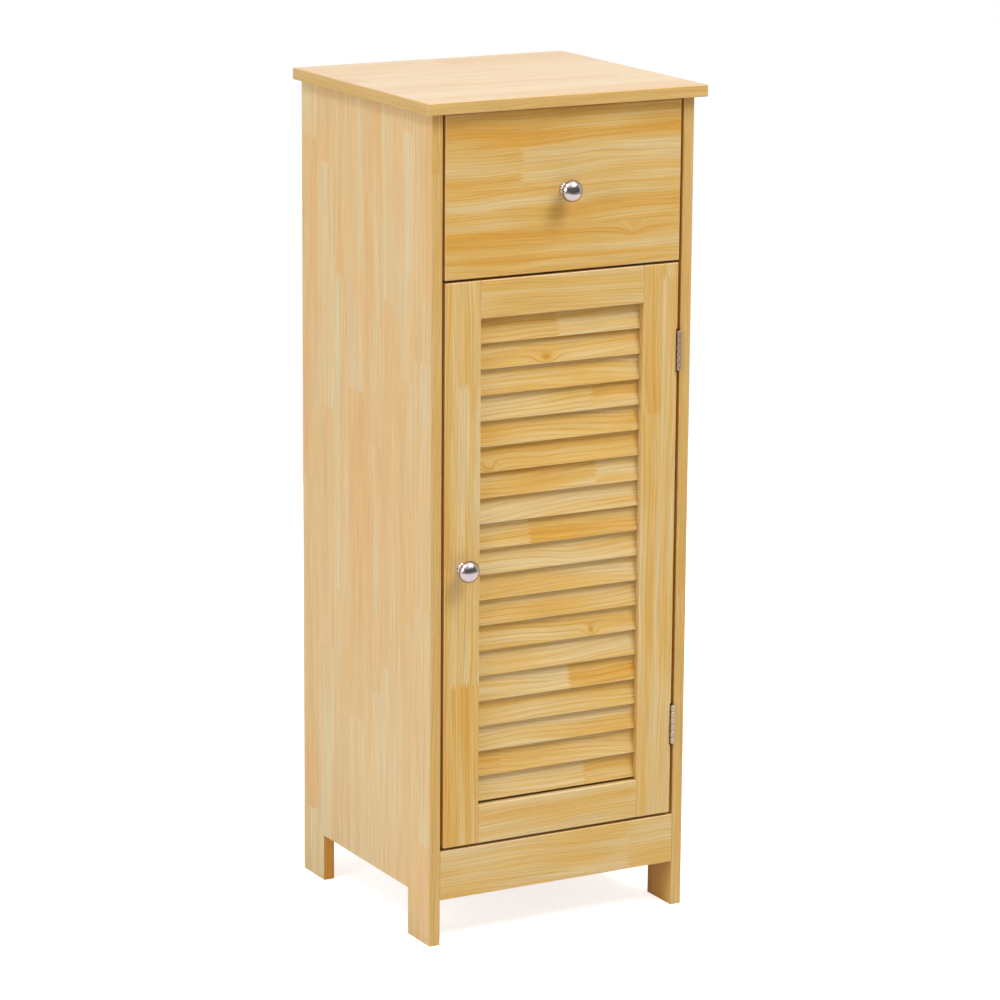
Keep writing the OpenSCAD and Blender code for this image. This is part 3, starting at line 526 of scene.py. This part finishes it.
# Where the staves begin: heights on the drawer front, the rails and the kick board, and the
# left edges of the stiles
DRAWER_STAVE = 0.7781
LOCK_STILE_LEFT = -0.1271
HINGE_STILE_LEFT = 0.116
TOP_RAIL_STAVE = 0.65
BOTTOM_RAIL_STAVE = 0.1055
KICK_FOOT = 0.048
rail_figure = {"stave_length": ONE_PIECE, "stave_contrast": 0.1}
stile_figure = {"stave_length": ONE_PIECE, "stave_contrast": 0.1, "fibre": 0.9}
paint(pine("drawer_foil", "xzy", -1, origin=(0, FRONT, DRAWER_STAVE), seed=2.0, swirl=18.0, tone=0.45,
           stave_length=ONE_PIECE, stave_contrast=0.15, joint=(-49.0, 0.0, 0.30),
           next_joint=(-200.0, 1.0, -0.12), knot=(81.0, -41.4, 26.0), knot_size=(9.0, 10.0, 0.0)),
      "drawer_front")
paint(pine("lock_stile_foil", "zxy", -1, origin=(LOCK_STILE_LEFT, FRONT, 0), seed=4.0, tone=0.46,
           joint=(273.0, 0.0, 0.34), next_joint=(582.5, 0.0, -0.20), **stile_figure), "lock_stile")
paint(pine("hinge_stile_foil", "zxy", -1, origin=(HINGE_STILE_LEFT, FRONT, 0), seed=6.0, tone=0.78,
           joint=(533.0, -1.0, -0.30), next_joint=(674.0, 0.0, -0.25), **stile_figure), "hinge_stile")
# The top rail's eased edges get the strongest painted highlight
paint(pine("top_rail_foil", "xzy", -1, origin=(0, FRONT, TOP_RAIL_STAVE), seed=7.0, tone=0.66,
           wear=0.7, **rail_figure), "top_rail")
paint(pine("bottom_rail_foil", "xzy", -1, origin=(0, FRONT, BOTTOM_RAIL_STAVE), seed=17.0, tone=0.76,
           **rail_figure), "bottom_rail")
paint(pine("kick_foil", "xzy", -1, origin=(0, FRONT, KICK_FOOT), seed=9.0, tone=0.64, stave_width=52.0,
           stave_contrast=0.2), "kick_board")


# Slats
# Nineteen thin slats lean in the door, with their ends in housings in the stiles, each wrapped
# in its own stave of foil. Some are jointed within their length, and three show a small knot.
SLAT_PITCH = 26.495
LOUVRE_TOP = 0.6493
NOSE = -0.129
SLAT_TONES = (0.48, 0.55, 0.66, 0.76, 0.52, 0.42, 0.50, 0.74, 0.55, 0.70, 0.62, 0.46, 0.54, 0.72, 0.80,
              0.58, 0.70, 0.42, 0.72)
# By slat: where a joint starts and its change of tone, and a knot's place and reach
SLAT_JOINTS = {1: (-3.0, 0.34), 4: (38.0, -0.26), 7: (44.0, 0.30), 9: (-33.0, -0.18),
               15: (15.0, -0.38), 18: (-65.0, 0.25), 19: (35.0, -0.25)}
SLAT_KNOTS = {2: (-16.0, 14.0), 6: (-81.0, 9.0), 13: (40.0, 9.0)}
# Height of a knot in its stave, as a share of the pitch, its width and its bend of the grain
KNOT_LIFT = 0.14
KNOT_WIDTH = 5.0
KNOT_BEND = 6.5
for number, tone in enumerate(SLAT_TONES, 1):
    figure = {"tone": tone, "seed": 20.0 + number, "stave_width": SLAT_PITCH, "stave_length": ONE_PIECE,
              "stave_contrast": 0.1, "finger": 5.0, "swirl": 16.0, "line_contrast": 1.25}
    if number in SLAT_JOINTS:
        start, change = SLAT_JOINTS[number]
        figure["joint"] = (start, -float(number), change)
    if number in SLAT_KNOTS:
        knot, reach = SLAT_KNOTS[number]
        figure["knot"] = (knot, -(number - KNOT_LIFT) * SLAT_PITCH, KNOT_BEND)
        figure["knot_size"] = (reach, KNOT_WIDTH, 0.0)
    slat = "slat_%02d" % number
    paint(pine(slat + "_foil", "xzy", -1, origin=(0, NOSE, LOUVRE_TOP), **figure), slat)


# Inside boards
# The bottom, divider, shelf and drawer box are the same foiled board. The shelf lies on
# its pins, and the others are held by cam locks, dowels and screws.
paint(pine("inner_foil", "xyz", seed=12.0, tone=0.55), "bottom_panel", "drawer_divider", "shelf")
paint(pine("box_side_foil", "yzx", seed=13.0, tone=0.55), "drawer_left_side", "drawer_right_side")
paint(pine("box_back_foil", "xzy", seed=14.0, tone=0.55), "drawer_back")


# Back panel and drawer bottom
# 3 mm hardboard: foiled on the side that shows inside, and raw brown fibre on the
# other. The back is screwed on, and the drawer's bottom slides into its groove.
def close_up(tree, steps):
    """The place on the object, times so many steps of noise to the metre along x, y and z."""
    place = put(tree, "TexCoord").outputs["Object"]
    return put(tree, "VectorMath", {0: place, 1: steps}, operation="MULTIPLY").outputs[0]


# Fineness of the fibres and of the cloudy patches among them, and how much each shows
FIBRE_STEPS = (900, 900, 900)
CLOUD_STEPS = (14, 14, 14)
FIBRE_SHARE = 0.8
CLOUD_SHARE = 0.5
RAW_DARK = srgb(112, 80, 52)
RAW_LIGHT = srgb(164, 126, 88)


def hardboard(name, grain, foiled):
    """Foil on one broad face. The other has pressed fibres, as short dark and pale flecks."""
    made = pine(name, grain, foiled, seed=15.0, tone=0.6, stave_length=600.0)
    tree = made.node_tree
    shader = tree.nodes["Principled BSDF"]
    normal = parts_of(tree, put(tree, "TexCoord").outputs["Normal"])["xyz".index(grain[2])]
    raw_side = calc(tree, "LESS_THAN", calc(tree, "MULTIPLY", normal, float(foiled)), 0.5)
    fibre = calc(tree, "MULTIPLY", clouds(tree, close_up(tree, FIBRE_STEPS), 4.0, 0.7), FIBRE_SHARE)
    cloudy = calc(tree, "MULTIPLY", clouds(tree, close_up(tree, CLOUD_STEPS), 3.0), CLOUD_SHARE)
    raw = blend(tree, calc(tree, "ADD", fibre, cloudy, clamp=True), RAW_DARK, RAW_LIGHT)
    foil = shader.inputs["Base Color"].links[0].from_socket
    tree.links.new(blend(tree, raw_side, foil, raw), shader.inputs["Base Color"])
    return made


paint(hardboard("back_hardboard", "zxy", -1), "back_panel")
paint(hardboard("drawer_hardboard", "xyz", 1), "drawer_bottom")


# Dowels
# Short beech dowels, glued into the ends of the boards and pushed into bores in the
# boards that they meet.
PORE_STEPS = (700, 700, 500)
BEECH_POLISH = 0.5
BEECH_POLISH_SPREAD = 0.2


def beech():
    """Pale brown with fine pores along the dowels' axes, which run across and up the case."""
    made, tree, shader = new_material("beech")
    pores = clouds(tree, close_up(tree, PORE_STEPS), 3.0, 0.6)
    tree.links.new(blend(tree, pores, srgb(176, 134, 92), srgb(214, 176, 134)), shader.inputs["Base Color"])
    polish = calc(tree, "MULTIPLY_ADD", pores, BEECH_POLISH_SPREAD, BEECH_POLISH)
    tree.links.new(polish, shader.inputs["Roughness"])
    return made


paint(beech(), "dowels")


# Knobs
# Turned and nickel-plated: a flared foot, a slim neck and a low domed head, each
# screwed on from behind.
def lathe(name, profile, centre, turns=96):
    """Turns a profile of (radius, distance) about an axis that leaves the front along -Y. Each
    ring is radius * (cos, sin) of the angle, and the first and last point are single poles."""
    angle = np.linspace(0, 2 * np.pi, turns, endpoint=False)
    rings = profile[1:-1]
    x = rings[:, :1] * np.cos(angle)
    z = rings[:, :1] * np.sin(angle)
    y = np.broadcast_to(-rings[:, 1:], x.shape)
    points = np.stack([x, y, z], axis=-1).reshape(-1, 3)
    poles = [(0, -profile[0, 1], 0), (0, -profile[-1, 1], 0)]
    points = np.concatenate([points, poles]) + np.array(centre)
    here = np.arange(turns)
    after = (here + 1) % turns
    start = np.arange(len(rings) - 1)[:, None] * turns
    walls = np.stack([start + here, start + turns + here, start + turns + after, start + after], axis=-1)
    last = (len(rings) - 1) * turns
    foot = np.stack([np.full(turns, last + turns), here, after], axis=-1)
    crown = np.stack([np.full(turns, last + turns + 1), last + after, last + here], axis=-1)
    faces = walls.reshape(-1, 4).tolist() + foot.tolist() + crown.tolist()
    mesh = bpy.data.meshes.new(name)
    mesh.from_pydata(points.tolist(), [], faces)
    mesh.polygons.foreach_set("use_smooth", np.ones(len(faces), dtype=bool))
    mesh.update()
    made = bpy.data.objects.new(name, mesh)
    scene.collection.objects.link(made)
    return made


DRIFT_STEPS = (260, 260, 260)
PLATING_SPREAD = 0.08


def plated(name, dark, light, roughness):
    """Plated metal that drifts a little in tone and polish from place to place."""
    made, tree, shader = new_material(name)
    drift = clouds(tree, close_up(tree, DRIFT_STEPS))
    shader.inputs["Metallic"].default_value = 1.0
    tree.links.new(blend(tree, drift, dark, light), shader.inputs["Base Color"])
    tree.links.new(calc(tree, "MULTIPLY_ADD", drift, PLATING_SPREAD, roughness), shader.inputs["Roughness"])
    return made


def rounded(profile, steps=3):
    """Cuts the corners of a profile, again and again, which leaves it smooth."""
    points = np.array(profile, dtype=float)
    for _ in range(steps):
        near = 0.75 * points[:-1] + 0.25 * points[1:]
        far = 0.25 * points[:-1] + 0.75 * points[1:]
        middle = np.stack([near, far], axis=1).reshape(-1, 2)
        points = np.concatenate([points[:1], middle, points[-1:]])
    return points


# Radius and distance from the front, from the foot to the crown
KNOB_PROFILE_MM = [(0, 0), (6.2, 0), (6.2, 1.2), (5.2, 1.9), (4.5, 3.2), (4.2, 6), (4.2, 9), (5.0, 11),
                   (7.2, 12.4), (10.6, 13.0), (11.4, 13.8), (11.5, 15), (11.1, 16.8), (9.9, 18.8),
                   (8.0, 20.6), (5.6, 22.0), (2.9, 22.8), (0, 23.0)]
KNOB_PROFILE = rounded(KNOB_PROFILE_MM) / 1000
NICKEL = plated("knob_nickel", srgb(168, 156, 156), srgb(184, 172, 171), 0.19)
for node, body in (("drawer_knob", "drawer"), ("door_knob", "door")):
    lowest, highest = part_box(node)
    middle = (lowest + highest) / 2
    knob = lathe(node + "_turned", KNOB_PROFILE, (middle.x, highest.y, middle.z))
    knob.data.materials.append(NICKEL)
    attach(knob, body)
    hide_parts(node)


# Hinges and strike plate
# Small steel butt hinges with six knuckles each, screwed to the side panel and to the door's
# stile, and the plate that the catch holds, all plated in a dull nickel.
DULL = plated("hinge_nickel", srgb(156, 138, 124), srgb(184, 167, 153), 0.34)
paint(DULL, "upper_hinge_fixed_leaf", "lower_hinge_fixed_leaf", "upper_hinge_door_leaf",
      "lower_hinge_door_leaf", "hinge_pins", "strike_plate")


# Screws, cams and shelf pins
# Zinc-plated steel, as bought. The cams are turned to pull their bolts tight, and the
# pins are pushed into holes in the side panels.
ZINC = plated("zinc", srgb(176, 178, 182), srgb(204, 206, 210), 0.36)
paint(ZINC, "cam_bolts", "cam_locks", "back_panel_screws", "case_screws", "shelf_pins", "drawer_cam_bolts",
      "drawer_cam_locks", "drawer_screws", "drawer_knob_screw", "door_knob_screw", "door_screws")


# Drawer runners and catch
# Moulded in an off-white plastic with a fine matt grain, and screwed to the case. The
# catch holds a block of ferrite.
MATT_STEPS = (2200, 2200, 2200)
MATT_SPREAD = 0.15
MATT_RELIEF = 0.2
MATT_DEPTH = 0.0001


def moulded(name, dark, light, roughness):
    """A fine grain over the whole surface, in colour, polish and height."""
    made, tree, shader = new_material(name)
    grain = clouds(tree, close_up(tree, MATT_STEPS), 2.0, 0.6)
    tree.links.new(blend(tree, grain, dark, light), shader.inputs["Base Color"])
    tree.links.new(calc(tree, "MULTIPLY_ADD", grain, MATT_SPREAD, roughness), shader.inputs["Roughness"])
    bump = put(tree, "Bump", {"Height": grain, "Strength": MATT_RELIEF, "Distance": MATT_DEPTH})
    tree.links.new(bump.outputs[0], shader.inputs["Normal"])
    return made


paint(moulded("white_plastic", srgb(222, 219, 210), srgb(236, 233, 226), 0.38),
      "left_drawer_runner", "right_drawer_runner", "magnet_catch")
paint(moulded("ferrite", srgb(44, 43, 45), srgb(66, 65, 68), 0.55), "catch_magnet")
